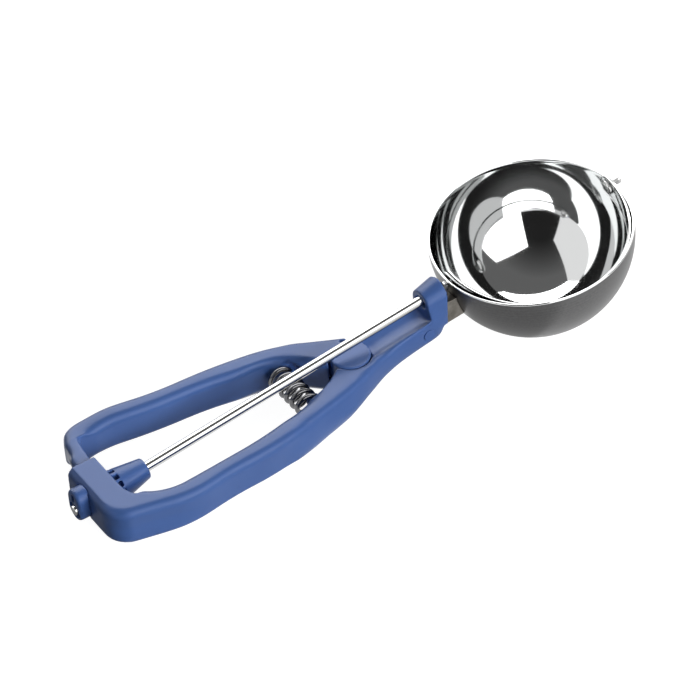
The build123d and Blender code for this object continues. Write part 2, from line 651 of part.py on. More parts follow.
def lever_handle():
    outline = lever_outline()
    beside_floor = KNUCKLE_R + KNUCKLE_GAP + 0.6
    arm = rounded_land(outline)
    arm -= post(beside_floor, 0, 0, -HANDLE_H - 1, KNUCKLE_BOTTOM)
    arm += pillow(outline) - post(beside_floor, 0, 0, -HANDLE_H - 1, 1)
    near_sleeve = block((-FAR, -FAR, -FAR), (-70, SLEEVE_END + KNUCKLE_GAP, FAR))
    arm -= Rot(0, 0, -LEVER_TRAVEL) * near_sleeve
    arm -= slab(arm_side(SIDE_GAP), -FAR, FAR)
    arm -= coil_space(SPRING_Y1, -1)
    knuckle = post(KNUCKLE_R, 0, 0, KNUCKLE_BOTTOM, 0)
    arm += fillet(level_edges(knuckle, 0), LAND_ROUND)
    arm -= post(PIN_R + PIN_RUN, 0, 0, -HANDLE_H - 1, PIN_TOP + 0.4)
    return HANDLE * (arm + spring_seat(SPRING_Y1, -1) + tail())


def pivot_pin():
    body = post(PIN_R, 0, 0, -HANDLE_H, PIN_TOP)
    body = fillet(level_edges(body, PIN_TOP), 0.4)
    head = post(PIN_HEAD_R, 0, 0, -HANDLE_H, -HANDLE_H + PIN_HEAD_T)
    return HANDLE * (body + fillet(level_edges(head, -HANDLE_H), 0.3))


def return_spring():
    radius = (SPRING_OD - WIRE) / 2
    length = SPRING_Y1 - SPRING_Y0 - WIRE - 0.2
    path = Helix(length / SPRING_TURNS, length, radius)
    wire = Plane(origin=path @ 0, z_dir=path % 0) * Circle(WIRE / 2)
    coil = sweep(wire, path=path)
    coil = Pos(SPRING_U, SPRING_Y0 + WIRE / 2 + 0.1, SPRING_V) * Rot(-90, 0, 0) * coil
    return HANDLE * coil


NODES = {
    "bowl": bowl, "bowl_shank": bowl_shank, "shank_pin": shank_pin, "rod_bush": rod_bush,
    "far_pivot_rivet": far_pivot_rivet, "scraper_blade": scraper_blade,
    "blade_cap": blade_cap, "drive_rod": drive_rod, "drive_pinion": drive_pinion,
    "hub_cone": hub_cone, "rear_bearing_cap": rear_bearing_cap,
    "rod_retaining_ring": rod_retaining_ring, "fixed_handle": fixed_handle,
    "lever_handle": lever_handle, "pivot_pin": pivot_pin, "return_spring": return_spring,
}

for name, make in NODES.items():
    shape = make()
    export_step(shape, f"parts/{name}.step")
    print(name, len(shape.solids()), round(shape.volume, 1))
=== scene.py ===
import math

import bpy
from mathutils import Matrix, Vector


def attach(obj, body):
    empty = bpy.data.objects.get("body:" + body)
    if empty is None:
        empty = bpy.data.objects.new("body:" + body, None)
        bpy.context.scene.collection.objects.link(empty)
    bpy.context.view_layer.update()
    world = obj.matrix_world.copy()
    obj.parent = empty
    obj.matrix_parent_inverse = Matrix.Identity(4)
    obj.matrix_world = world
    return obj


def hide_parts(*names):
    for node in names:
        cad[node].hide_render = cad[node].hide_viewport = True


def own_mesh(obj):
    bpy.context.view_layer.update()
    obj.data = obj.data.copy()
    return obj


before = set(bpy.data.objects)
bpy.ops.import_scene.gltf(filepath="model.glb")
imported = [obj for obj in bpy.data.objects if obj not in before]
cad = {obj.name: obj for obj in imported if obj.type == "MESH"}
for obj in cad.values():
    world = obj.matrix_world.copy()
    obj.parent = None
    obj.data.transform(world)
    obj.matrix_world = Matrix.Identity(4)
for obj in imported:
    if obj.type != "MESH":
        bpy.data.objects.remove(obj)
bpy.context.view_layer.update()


# ---- Bowl ----
# A half ball spun from one blank of 18/10 stainless steel, with a short straight lip.
# The inside is buffed to a mirror. The outside keeps the fine satin that the abrasive
# belt leaves on the lathe, and the lip's edge is rounded and polished.
MM = 0.001
ROD_Z = -1.4                       # rod axis and centre of the half ball, below the rim
BOWL_OUT, BOWL_IN = 30.5, 29.7
LIP_ROUND = 0.38
MIRROR_STEEL = "#D9DADA"
SATIN_DARK, SATIN_LIGHT, SATIN_FLECK = "#4C4C4D", "#5C5C5C", "#9A9A9A"


def linear(colour):
    """Linear RGBA of an sRGB hex colour."""
    parts = [int(colour[i:i + 2], 16) / 255 for i in (1, 3, 5)]
    return [p / 12.92 if p <= 0.04045 else ((p + 0.055) / 1.055) ** 2.4 for p in parts] + [1]


def add(tree, kind, inputs=None, **settings):
    """One shader node with its settings; an input is a value, or the socket that feeds it."""
    made = tree.nodes.new(kind)
    for name, value in settings.items():
        setattr(made, name, value)
    for name, value in (inputs or {}).items():
        if isinstance(value, bpy.types.NodeSocket):
            tree.links.new(value, made.inputs[name])
        else:
            made.inputs[name].default_value = value
    return made


def surface(name):
    """A new material and its emptied node tree."""
    made = bpy.data.materials.new(name)
    made.use_nodes = True
    made.node_tree.nodes.clear()
    return made, made.node_tree


def mesh_piece(name, points, faces, materials, slots=None):
    """Smooth-shaded mesh object from points in millimetres."""
    mesh = bpy.data.meshes.new(name)
    mesh.from_pydata([[c * MM for c in p] for p in points], [], faces)
    for used in materials:
        mesh.materials.append(used)
    mesh.shade_smooth()
    if slots:
        mesh.polygons.foreach_set("material_index", slots)
    mesh.update()
    made = bpy.data.objects.new(name, mesh)
    bpy.context.scene.collection.objects.link(made)
    return made


def turned(name, profile, materials, place, turns, slots=None):
    """Closed (radius, height) profile turned about an axis; place puts x, y, height in the part."""
    points, faces, kinds = [], [], []
    count = len(profile)
    for i in range(turns):
        angle = 2 * math.pi * i / turns
        for radius, height in profile:
            points.append(place(radius * math.cos(angle), radius * math.sin(angle), height))
    for i in range(turns):
        for j in range(count):
            k, n = (i + 1) % turns, (j + 1) % count
            faces.append((i * count + j, i * count + n, k * count + n, k * count + j))
            kinds.append(slots[j] if slots else 0)
    return mesh_piece(name, points, faces, materials, kinds)


def arc(cx, cy, radius, a0, a1, steps):
    """Points of an arc in a profile, angles in degrees."""
    found = []
    for i in range(steps + 1):
        a = math.radians(a0 + (a1 - a0) * i / steps)
        found.append((cx + radius * math.cos(a), cy + radius * math.sin(a)))
    return found


# Mirror-polished stainless: sharp reflections, softened a little where the buff has passed.
mirror, tree = surface("mirror_stainless")
where = add(tree, "ShaderNodeTexCoord")
buff = add(tree, "ShaderNodeTexNoise", {"Vector": where.outputs["Object"], "Scale": 90.0,
                                        "Detail": 3.0})
haze = add(tree, "ShaderNodeMapRange", {"Value": buff.outputs["Fac"], "From Min": 0.3,
                                        "From Max": 0.7, "To Min": 0.035, "To Max": 0.075})
look = add(tree, "ShaderNodeBsdfPrincipled", {
    "Base Color": linear(MIRROR_STEEL), "Metallic": 1.0, "Roughness": haze.outputs["Result"]})
add(tree, "ShaderNodeOutputMaterial", {"Surface": look.outputs["BSDF"]})

# Satin stainless: belt grain runs round the bowl about 0.1 mm apart, drawn 0.35 mm to show.
satin, tree = surface("satin_stainless")
where = add(tree, "ShaderNodeTexCoord")
split = add(tree, "ShaderNodeSeparateXYZ", {"Vector": where.outputs["Object"]})
level = add(tree, "ShaderNodeCombineXYZ", {"Z": split.outputs["Z"]})
grain = add(tree, "ShaderNodeTexNoise", {"Vector": level.outputs["Vector"], "Scale": 2800.0,
                                         "Detail": 4.0})
fleck = add(tree, "ShaderNodeTexNoise", {"Vector": where.outputs["Object"], "Scale": 1500.0,
                                         "Detail": 5.0})
cloud = add(tree, "ShaderNodeTexNoise", {"Vector": where.outputs["Object"], "Scale": 60.0,
                                         "Detail": 2.0})
both = add(tree, "ShaderNodeMix", {"Factor": 0.35, "A": grain.outputs["Fac"],
                                   "B": fleck.outputs["Fac"]})
haze = add(tree, "ShaderNodeMapRange", {"Value": both.outputs["Result"], "From Min": 0.3,
                                        "From Max": 0.7, "To Min": 0.30, "To Max": 0.46})
tone = add(tree, "ShaderNodeMix", {"Factor": cloud.outputs["Fac"], "A": linear(SATIN_DARK),
                                   "B": linear(SATIN_LIGHT)}, data_type="RGBA")
speck = add(tree, "ShaderNodeMapRange", {"Value": both.outputs["Result"], "From Min": 0.3,
                                         "From Max": 0.7, "To Min": 0.0, "To Max": 0.35})
tone = add(tree, "ShaderNodeMix", {"Factor": speck.outputs["Result"],
                                   "A": tone.outputs["Result"], "B": linear(SATIN_FLECK)},
           data_type="RGBA")
bump = add(tree, "ShaderNodeBump", {"Height": both.outputs["Result"], "Strength": 0.25,
                                    "Distance": 0.00004})
look = add(tree, "ShaderNodeBsdfPrincipled", {
    "Base Color": tone.outputs["Result"], "Metallic": 1.0,
    "Roughness": haze.outputs["Result"], "Normal": bump.outputs["Normal"]})
add(tree, "ShaderNodeOutputMaterial", {"Surface": look.outputs["BSDF"]})

inside = arc(0, ROD_Z, BOWL_IN, -90, 0, 90)
inner_edge = arc(BOWL_IN + LIP_ROUND, -LIP_ROUND, LIP_ROUND, 180, 90, 6)
outer_edge = arc(BOWL_OUT - LIP_ROUND, -LIP_ROUND, LIP_ROUND, 90, 0, 6)
outside = arc(0, ROD_Z, BOWL_OUT, 0, -90, 90)
bowl_profile = [(max(r, 0.0), z) for r, z in inside + inner_edge + outer_edge + outside]
polished = len(inside) + len(inner_edge) + len(outer_edge) - 1
bowl_slots = [0 if j < polished else 1 for j in range(len(bowl_profile))]
bowl = turned("spun_bowl", bowl_profile, [mirror, satin], lambda x, y, z: (x, y, z), 256,
              bowl_slots)
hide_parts("bowl")
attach(bowl, "base")


# ---- Far pivot rivet ----
# A small stainless rivet through the bowl's far wall, on which the blade's far end turns.
# It is turned bright, with a low domed head inside and a plain tip left standing outside.
RIVET_HEAD, RIVET_STEM, RIVET_TIP = 2.3, 0.95, 0.85        # radii
RIVET_SEAT, RIVET_OUT, RIVET_END = 28.35, 31.0, 33.2       # along the rod axis from the centre
BRIGHT_STEEL = "#C9C9C8"


def along_x(x, y, h):
    """Places a profile's height along the rod axis."""
    return (h, x, ROD_Z + y)


# Turned bright stainless: a clean shine, a little uneven over about 1 mm.
bright, tree = surface("turned_bright_stainless")
where = add(tree, "ShaderNodeTexCoord")
lines = add(tree, "ShaderNodeTexNoise", {"Vector": where.outputs["Object"], "Scale": 900.0,
                                         "Detail": 3.0})
haze = add(tree, "ShaderNodeMapRange", {"Value": lines.outputs["Fac"], "From Min": 0.3,
                                        "From Max": 0.7, "To Min": 0.12, "To Max": 0.22})
look = add(tree, "ShaderNodeBsdfPrincipled", {
    "Base Color": linear(BRIGHT_STEEL), "Metallic": 1.0, "Roughness": haze.outputs["Result"]})
add(tree, "ShaderNodeOutputMaterial", {"Surface": look.outputs["BSDF"]})

rivet_profile = [(0, RIVET_SEAT - 0.7), (1.2, RIVET_SEAT - 0.65), (2.0, RIVET_SEAT - 0.45),
                 (RIVET_HEAD, RIVET_SEAT - 0.2), (RIVET_HEAD, RIVET_SEAT),
                 (RIVET_STEM, RIVET_SEAT), (RIVET_STEM, RIVET_OUT), (RIVET_TIP, RIVET_OUT),
                 (RIVET_TIP, RIVET_END - 0.3), (RIVET_TIP - 0.3, RIVET_END), (0, RIVET_END)]
rivet = turned("far_rivet", rivet_profile, [bright], along_x, 48)
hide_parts("far_pivot_rivet")
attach(rivet, "base")


# ---- Scraper blade and small steel parts ----
# A thin spring-steel band bent to the bowl's curve, with a round eye at each end. The near
# eye sits on the rod's thin end under a cap, the far one turns on the rivet. The cap, the
# retaining ring, the pinion and the pivot pin keep their own form and are turned bright.
BLADE_OUT, BLADE_IN = 29.35, 28.65
BLADE_HALF, BLADE_REST = 3.7, 8.0  # half its width in mm, and its tilt at rest in degrees


def blade_point(radius, along, across):
    """Point on the band: along is its angle from the near eye, across its height in mm."""
    flat = math.sqrt(radius ** 2 - across ** 2)
    x, y, z = -flat * math.cos(along), -flat * math.sin(along), across
    c, s = math.cos(math.radians(BLADE_REST)), math.sin(math.radians(BLADE_REST))
    return (x, y * c - z * s, ROD_Z + y * s + z * c)


def blade_mesh():
    """Band and both half-round ends as one closed skin."""
    steps, width = 120, 10
    points, faces = [], []
    eye = BLADE_HALF / BLADE_OUT
    for radius in (BLADE_OUT, BLADE_IN):
        for i in range(steps + 1):
            along = -eye + (math.pi + 2 * eye) * i / steps
            over = max(-along, along - math.pi, 0.0) * BLADE_OUT
            half = math.sqrt(max(BLADE_HALF ** 2 - over ** 2, 1e-4))
            for j in range(width + 1):
                points.append(blade_point(radius, along, half * (2 * j / width - 1)))
    row, layer = width + 1, (steps + 1) * (width + 1)
    for i in range(steps):
        for j in range(width):
            a = i * row + j
            faces.append((a, a + 1, a + row + 1, a + row))
            b = a + layer
            faces.append((b, b + row, b + row + 1, b + 1))
    rim = [i * row for i in range(steps + 1)] + [steps * row + j for j in range(1, row)]
    rim += [i * row + width for i in range(steps - 1, -1, -1)] + list(range(width - 1, 0, -1))
    for a, b in zip(rim, rim[1:] + rim[:1]):
        faces.append((a, a + layer, b + layer, b))
    return points, faces


points, faces = blade_mesh()
blade = mesh_piece("scraper_band", points, faces, [mirror])
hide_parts("scraper_blade")
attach(blade, "rotor")

for node in ("blade_cap", "rod_retaining_ring", "drive_pinion", "pivot_pin"):
    cad[node].data.materials.clear()
    cad[node].data.materials.append(bright)


# ---- Drive rod ----
# Cold-drawn stainless bar, ground and polished, with fine draw lines along its length.
# It runs from the rear cap through the hub and the tower to the blade's near eye.
ROD_R, ROD_END_R = 1.5, 0.95
ROD_REAR, ROD_STEP, ROD_END = -159.5, -30.9, -29.4
ROD_ROUND = 0.3
ROD_RINGS = 40
DRAWN_STEEL = "#D2D2D1"

# Drawn and polished stainless: long sharp reflections. The draw lines are far finer on
# the real bar, and are drawn 0.4 mm apart to show.
drawn, tree = surface("drawn_polished_stainless")
where = add(tree, "ShaderNodeTexCoord")
stretch = add(tree, "ShaderNodeMapping", {"Vector": where.outputs["Object"],
                                          "Scale": (0.02, 1.0, 1.0)})
lines = add(tree, "ShaderNodeTexNoise", {"Vector": stretch.outputs["Vector"], "Scale": 2500.0,
                                         "Detail": 3.0})
haze = add(tree, "ShaderNodeMapRange", {"Value": lines.outputs["Fac"], "From Min": 0.3,
                                        "From Max": 0.7, "To Min": 0.05, "To Max": 0.12})
bump = add(tree, "ShaderNodeBump", {"Height": lines.outputs["Fac"], "Strength": 0.06,
                                    "Distance": 0.00002})
look = add(tree, "ShaderNodeBsdfPrincipled", {
    "Base Color": linear(DRAWN_STEEL), "Metallic": 1.0, "Roughness": haze.outputs["Result"],
    "Normal": bump.outputs["Normal"]})
add(tree, "ShaderNodeOutputMaterial", {"Surface": look.outputs["BSDF"]})

rod_profile = [(0, ROD_REAR), (ROD_R - ROD_ROUND, ROD_REAR), (ROD_R - 0.09, ROD_REAR + 0.09)]
barrel = ROD_STEP - ROD_REAR - ROD_ROUND - 0.2
rod_profile += [(ROD_R, ROD_REAR + ROD_ROUND + barrel * i / ROD_RINGS)
                for i in range(ROD_RINGS + 1)]
rod_profile += [(ROD_R - 0.15, ROD_STEP), (ROD_END_R, ROD_STEP), (ROD_END_R, ROD_END),
                (0, ROD_END)]
rod = turned("polished_rod", rod_profile, [drawn], along_x, 72)
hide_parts("drive_rod")
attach(rod, "rotor")


# ---- Shank and bush ----
# The shank is a small steel casting, bead-blasted and a little stained by its weld to the
# bowl. The rod's bush is a dark acetal moulding pressed into the tower's front.
PIVOT_X, PIVOT_Z, PITCH = -65.8, -5.5, 7.2                 # the handle frame in the part's
SIN, COS = math.sin(math.radians(PITCH)), math.cos(math.radians(PITCH))
CAST_DARK, CAST_LIGHT = "#2E2922", "#C2BDB4"
DARK_ACETAL = "#23262E"


def handle(u, y, v):
    """Handle frame to part frame, millimetres."""
    return (PIVOT_X + u * COS + v * SIN, y, PIVOT_Z - u * SIN + v * COS)


def in_handle(point):
    """Part frame in metres to handle frame in millimetres."""
    x, z = point.x / MM - PIVOT_X, point.z / MM - PIVOT_Z
    return x * COS - z * SIN, point.y / MM, x * SIN + z * COS


def ramp(value, low, high):
    """Smooth rise from 0 at low to 1 at high."""
    t = min(max((value - low) / (high - low), 0.0), 1.0)
    return t * t * (3 - 2 * t)


def bake(made):
    """Turns the object's modifiers into its mesh."""
    bpy.context.view_layer.update()
    shaped = made.evaluated_get(bpy.context.evaluated_depsgraph_get())
    mesh = bpy.data.meshes.new_from_object(shaped)
    made.modifiers.clear()
    made.data = mesh


def coated(name, node, used):
    """A copy of the node's own form in another material."""
    made = bpy.data.objects.new(name, cad[node].data.copy())
    bpy.context.scene.collection.objects.link(made)
    made.data.materials.clear()
    made.data.materials.append(used)
    return made


def moulded(name, node, voxel, passes, used, cutters=()):
    """The node's own form with the small radii that a tool leaves on every edge."""
    made = coated(name, node, used)
    for cutter in cutters:
        core = made.modifiers.new("core", "BOOLEAN")
        core.operation, core.solver, core.object = "DIFFERENCE", "EXACT", cutter
    skin = made.modifiers.new("skin", "REMESH")
    skin.mode = "VOXEL"
    skin.voxel_size = voxel * MM
    radii = made.modifiers.new("radii", "SMOOTH")
    radii.factor, radii.iterations = 0.5, passes
    bake(made)
    for cutter in cutters:
        bpy.data.objects.remove(cutter)
    made.data.materials.clear()
    made.data.materials.append(used)
    made.data.shade_smooth()
    return made


def blended(made, weight, passes, moved):
    """Moves and softens a moulding; weight and moved are functions of u, y and v."""
    group = made.vertex_groups.new(name="soft")
    for vertex in made.data.vertices:
        u, y, v = in_handle(vertex.co)
        vertex.co = Vector(handle(*moved(u, y, v))) * MM
        share = weight(u, y, v)
        if share > 0.01:
            group.add([vertex.index], share, "REPLACE")
    blend = made.modifiers.new("blend", "SMOOTH")
    blend.factor, blend.iterations, blend.vertex_group = 0.5, passes, "soft"
    bake(made)
    made.vertex_groups.clear()
    made.data.shade_smooth()


# Blasted cast steel: dull pits, drawn 0.7 mm across to show, and brown weld stain in
# patches of about 4 mm.
cast, tree = surface("blasted_cast_steel")
where = add(tree, "ShaderNodeTexCoord")
pits = add(tree, "ShaderNodeTexNoise", {"Vector": where.outputs["Object"], "Scale": 1400.0,
                                        "Detail": 5.0})
stain = add(tree, "ShaderNodeTexNoise", {"Vector": where.outputs["Object"], "Scale": 260.0,
                                         "Detail": 3.0})
tone = add(tree, "ShaderNodeMix", {"Factor": stain.outputs["Fac"], "A": linear(CAST_DARK),
                                   "B": linear(CAST_LIGHT)}, data_type="RGBA")
bump = add(tree, "ShaderNodeBump", {"Height": pits.outputs["Fac"], "Strength": 0.5,
                                    "Distance": 0.0001})
look = add(tree, "ShaderNodeBsdfPrincipled", {
    "Base Color": tone.outputs["Result"], "Metallic": 1.0, "Roughness": 0.3,
    "Normal": bump.outputs["Normal"]})
add(tree, "ShaderNodeOutputMaterial", {"Surface": look.outputs["BSDF"]})
shank = moulded("cast_shank", "bowl_shank", 0.12, 6, cast)
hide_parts("bowl_shank")
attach(shank, "base")

# Dark acetal: a smooth waxy shine, a little uneven over about 1.4 mm.
acetal, tree = surface("dark_acetal")
where = add(tree, "ShaderNodeTexCoord")
skin = add(tree, "ShaderNodeTexNoise", {"Vector": where.outputs["Object"], "Scale": 700.0})
haze = add(tree, "ShaderNodeMapRange", {"Value": skin.outputs["Fac"], "To Min": 0.08,
                                        "To Max": 0.16})
look = add(tree, "ShaderNodeBsdfPrincipled", {
    "Base Color": linear(DARK_ACETAL), "Roughness": haze.outputs["Result"], "IOR": 1.48})
add(tree, "ShaderNodeOutputMaterial", {"Surface": look.outputs["BSDF"]})
bush = moulded("bush_moulding", "rod_bush", 0.1, 5, acetal)
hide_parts("rod_bush")
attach(bush, "base")


# ---- Moulded handle, lever, hub cone and rear cap ----
# Glass-filled polypropylene, through-coloured blue and injection moulded, with a fine
# spark-eroded texture. The frame's u runs along the handle from the pivot to the bowl, y
# across it to the lever and v upwards, all in millimetres.
BLUE, BLUE_DEEP = "#4464A0", "#3E5B96"
TEXTURE_MM = 0.45                  # real texture is near 0.05 mm, drawn coarser to show
SWELL, FLARE, TOWER_DROP = 0.95, 0.95, 1.3
LAND_STEP = 1.25                   # the lever arm's top above its tail's
CUT_Y, CUT_SLOPE = 8.67, 0.1246    # the tail's top ends at y = CUT_Y - CUT_SLOPE * u
FLANK_BACK, TAIL_IN = 1.5, 0.9
SPRING_U, SPRING_V = -18.5, -5.5
SPRING_ROOM, ROOM_LONG = 4.3, 14   # radius and length of the cut for a pocket
ROOM_FIXED_Y, ROOM_LEVER_Y = -6.9, 9.0                     # the two pockets' bottoms as cut
HUB_FACE_X = -146.9
HUB_SLOT_HALF, HUB_SLOT_DEEP = 0.85, 2.5
PLUG_WIDER, PLUG_LONGER, PLUG_ON = 2.0, 1.05, 0.5

# Spark-eroded polypropylene: a satin that breaks up highlights finely, with faint flow
# shades about 14 mm across.
blue, tree = surface("blue_polypropylene")
where = add(tree, "ShaderNodeTexCoord")
erode = add(tree, "ShaderNodeTexNoise", {"Vector": where.outputs["Object"],
                                         "Scale": 1000 / TEXTURE_MM, "Detail": 4.0})
flow = add(tree, "ShaderNodeTexNoise", {"Vector": where.outputs["Object"], "Scale": 70.0,
                                        "Detail": 3.0})
tone = add(tree, "ShaderNodeMix", {"Factor": flow.outputs["Fac"], "A": linear(BLUE_DEEP),
                                   "B": linear(BLUE)}, data_type="RGBA")
haze = add(tree, "ShaderNodeMapRange", {"Value": erode.outputs["Fac"], "From Min": 0.3,
                                        "From Max": 0.7, "To Min": 0.28, "To Max": 0.36})
bump = add(tree, "ShaderNodeBump", {"Height": erode.outputs["Fac"], "Strength": 0.08,
                                    "Distance": 0.00005})
look = add(tree, "ShaderNodeBsdfPrincipled", {
    "Base Color": tone.outputs["Result"], "Roughness": haze.outputs["Result"], "IOR": 1.49,
    "Specular IOR Level": 0.28, "Normal": bump.outputs["Normal"]})
add(tree, "ShaderNodeOutputMaterial", {"Surface": look.outputs["BSDF"]})


def handle_soft(u, y, v):
    """Share of softening on the arm in front of the spring, which has no sharp edge."""
    share = ramp(u, -31, -25) * ramp(math.hypot(u, y), 7.6, 9.4)
    if u < 0:
        share *= ramp(-y, 7.2, 8.6)
    return share * max(ramp(-u, -25, -21), ramp(-v, -3.0, 0.5) * ramp(-u, -31.3, -30.3))


def handle_moved(u, y, v):
    """The arm swells beside the spring, its rear corner flares and the tower's top is low."""
    swell = SWELL * ramp(u, -36, -24) * ramp(-u, -10, 2) * ramp(-v, 2, 8) * ramp(-y, 8, 13)
    flare = ramp(-u, 60, 78) * ramp(-v, 5, 10) * ramp(-y, 9, 13)
    top = ramp(v, 1.0, 14.0) * ramp(u, 18, 25)
    return u - 0.1 * flare, y - swell - FLARE * flare, v - TOWER_DROP * top


def lever_soft(u, y, v):
    """Share of softening at the lever's elbow and round its spring pocket."""
    elbow = ramp(-u, 70, 76) * ramp(y, 12.2, 13.8)
    pocket = 1 - ramp(math.hypot(u - SPRING_U, v - SPRING_V), 5.5, 10.0)
    return max(elbow, pocket * (1 - ramp(y, 11.5, 14)))


def lever_moved(u, y, v):
    """The arm's top sinks to the level of its tail, and its flank draws back at the spring."""
    past_cut = y - CUT_Y + u * CUT_SLOPE
    sink = ramp(-u, 66, 80) * ramp(past_cut, -0.3, 0.3) * ramp(v, -7.0, -1.0)
    back = ramp(u, -34, -24) * ramp(-u, 7, 13) * (1 - ramp(y, 9, 16))
    tail = ramp(-u, 80, 85) * ramp(y, 12, 15) * ramp(-y, -25, -21)
    return u + TAIL_IN * tail, y + FLANK_BACK * back, v - LAND_STEP * sink


def hub_slot(degrees):
    """Closed box for a slot at the cone's foot, turned from the top away from the lever."""
    c, s = math.cos(math.radians(degrees)), math.sin(math.radians(degrees))
    points = []
    for z in (2.2, 7.0):
        for y in (-HUB_SLOT_HALF, HUB_SLOT_HALF):
            for x in (HUB_FACE_X - 1, HUB_FACE_X + HUB_SLOT_DEEP):
                points.append((x, y * c - z * s, ROD_Z + y * s + z * c))
    faces = [(0, 2, 3, 1), (4, 5, 7, 6), (0, 1, 5, 4), (2, 6, 7, 3), (0, 4, 6, 2), (1, 3, 7, 5)]
    return mesh_piece("hub_slot", points, faces, [])


def tube_cut(name, radii, centre, axis, length):
    """Closed oval bar for a cut; radii, centre and axis are in the handle frame."""
    around = 40
    axis = Vector(axis).normalized()
    side = axis.cross(Vector((0, 0, 1))).normalized()
    up = side.cross(axis)
    points = []
    for end in (0.0, length):
        for k in range(around):
            a = 2 * math.pi * k / around
            spot = (Vector(centre) + axis * end + side * (radii[0] * math.cos(a))
                    + up * (radii[1] * math.sin(a)))
            points.append(handle(*spot))
    faces = [tuple(reversed(range(around))), tuple(range(around, 2 * around))]
    for k in range(around):
        n = (k + 1) % around
        faces.append((k, n, n + around, k + around))
    return mesh_piece(name, points, faces, [])


def spring_room(y, side):
    """The pocket that the coil's end sits in, from its bottom towards the other arm."""
    return tube_cut("spring_room", (SPRING_ROOM, SPRING_ROOM), (SPRING_U, y, SPRING_V),
                    (0, side, 0), ROOM_LONG)


cap_recess = tube_cut("cap_recess", radii=(1.0, 1.8), centre=(-95, 0.4, -3.0), axis=(1, 0, 0),
                      length=2.6)
for name, node, body, voxel, passes, cutters in (
        ("handle_moulding", "fixed_handle", "base", 0.29, 10, [spring_room(ROOM_FIXED_Y, 1)]),
        ("lever_moulding", "lever_handle", "lever", 0.25, 14, [spring_room(ROOM_LEVER_Y, -1)]),
        ("hub_moulding", "hub_cone", "base", 0.14, 6, [hub_slot(16), hub_slot(46)]),
        ("cap_moulding", "rear_bearing_cap", "base", 0.12, 36, [cap_recess])):
    piece = moulded(name, node, voxel, passes, blue, cutters)
    if node == "fixed_handle":
        blended(piece, handle_soft, 300, handle_moved)
    if node == "lever_handle":
        blended(piece, lever_soft, 70, lever_moved)
    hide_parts(node)
    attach(piece, body)

# A round blue plug covers the end of the shank's cross pin, and the pin is drawn as the plug.
plug = coated("shank_plug", "shank_pin", blue)
middle = sum((vertex.co for vertex in plug.data.vertices), Vector()) / len(plug.data.vertices)
for vertex in plug.data.vertices:
    off = vertex.co - middle
    vertex.co = middle + Vector((off.x * PLUG_WIDER + PLUG_ON * MM, off.y * PLUG_LONGER,
                                 off.z * PLUG_WIDER))
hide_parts("shank_pin")
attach(plug, "base")


# ---- Return spring ----
# A compression coil of oil-tempered spring wire, whose ends sit in the pockets of the two
# arms. It shortens as the lever is squeezed.
COIL_Y0, COIL_Y1 = -6.8, 10.3
COIL_R, WIRE_R, COIL_TURNS = 3.25, 0.74, 5.6
WIRE_STEEL = "#6A6A6C"


def coil_mesh():
    """Round wire swept along an even helix, with its two ends capped flat."""
    steps, around = int(COIL_TURNS * 28), 14
    y0, y1 = COIL_Y0 + WIRE_R, COIL_Y1 - WIRE_R
    centres = []
    for i in range(steps + 1):
        t = i / steps
        a = 2 * math.pi * COIL_TURNS * t
        centres.append(Vector(handle(SPRING_U + COIL_R * math.cos(a), y0 + (y1 - y0) * t,
                                     SPRING_V + COIL_R * math.sin(a))))
    axis = Vector(handle(SPRING_U, 0, SPRING_V))
    points, faces = [], []
    for i, c in enumerate(centres):
        ahead = centres[min(i + 1, steps)] - centres[max(i - 1, 0)]
        out = c - Vector((axis.x, c.y, axis.z))
        side = ahead.cross(out).normalized()
        out = side.cross(ahead).normalized()
        for k in range(around):
            a = 2 * math.pi * k / around
            points.append(tuple(c + (out * math.cos(a) + side * math.sin(a)) * WIRE_R))
    for i in range(steps):
        for k in range(around):
            a, b = i * around + k, i * around + (k + 1) % around
            faces.append((a, b, b + around, a + around))
    faces.append(tuple(range(around)))
    faces.append(tuple(steps * around + k for k in reversed(range(around))))
    return points, faces


# Oil-tempered wire: grey and half dull, its scale uneven over about 1.3 mm.
wire, tree = surface("oil_tempered_wire")
where = add(tree, "ShaderNodeTexCoord")
scale = add(tree, "ShaderNodeTexNoise", {"Vector": where.outputs["Object"], "Scale": 800.0,
                                         "Detail": 3.0})
haze = add(tree, "ShaderNodeMapRange", {"Value": scale.outputs["Fac"], "From Min": 0.3,
                                        "From Max": 0.7, "To Min": 0.14, "To Max": 0.26})
look = add(tree, "ShaderNodeBsdfPrincipled", {
    "Base Color": linear(WIRE_STEEL), "Metallic": 1.0, "Roughness": haze.outputs["Result"]})
add(tree, "ShaderNodeOutputMaterial", {"Surface": look.outputs["BSDF"]})
points, faces = coil_mesh()
spring = mesh_piece("coil_spring", points, faces, [wire])
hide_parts("return_spring")
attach(spring, "base")
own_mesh(spring)


# ---- Studio ----
# A white table and backdrop, a dark canopy overhead, and three soft panels: a bright one in
# front, a fainter one behind the handle and the brightest beyond the bowl. Two grey cards
# just over the table stand for its shade in what the scoop's lower walls mirror.
FLOOR_TILT = math.radians(9.43)    # the scoop lies on the bowl's bottom and the bridge's edge
FLOOR_UP = Vector((math.sin(FLOOR_TILT), 0, math.cos(FLOOR_TILT)))
FLOOR_HALF = 4000
CANOPY_R, CANOPY_RINGS, CANOPY_SPOKES, RING_DEGREES = 3.0, 13, 48, 6.0
LAMP_FAR, LAMP_CENTRE = 1.7, Vector((-0.06, 0, 0))


def from_angles(azimuth, zenith):
    a, z = math.radians(azimuth), math.radians(zenith)
    return Vector((math.sin(z) * math.cos(a), math.sin(z) * math.sin(a), math.cos(z)))


def glow(name, colour, strength):
    made, tree = surface(name)
    light = add(tree, "ShaderNodeEmission", {"Color": linear(colour), "Strength": strength})
    add(tree, "ShaderNodeOutputMaterial", {"Surface": light.outputs["Emission"]})
    return made


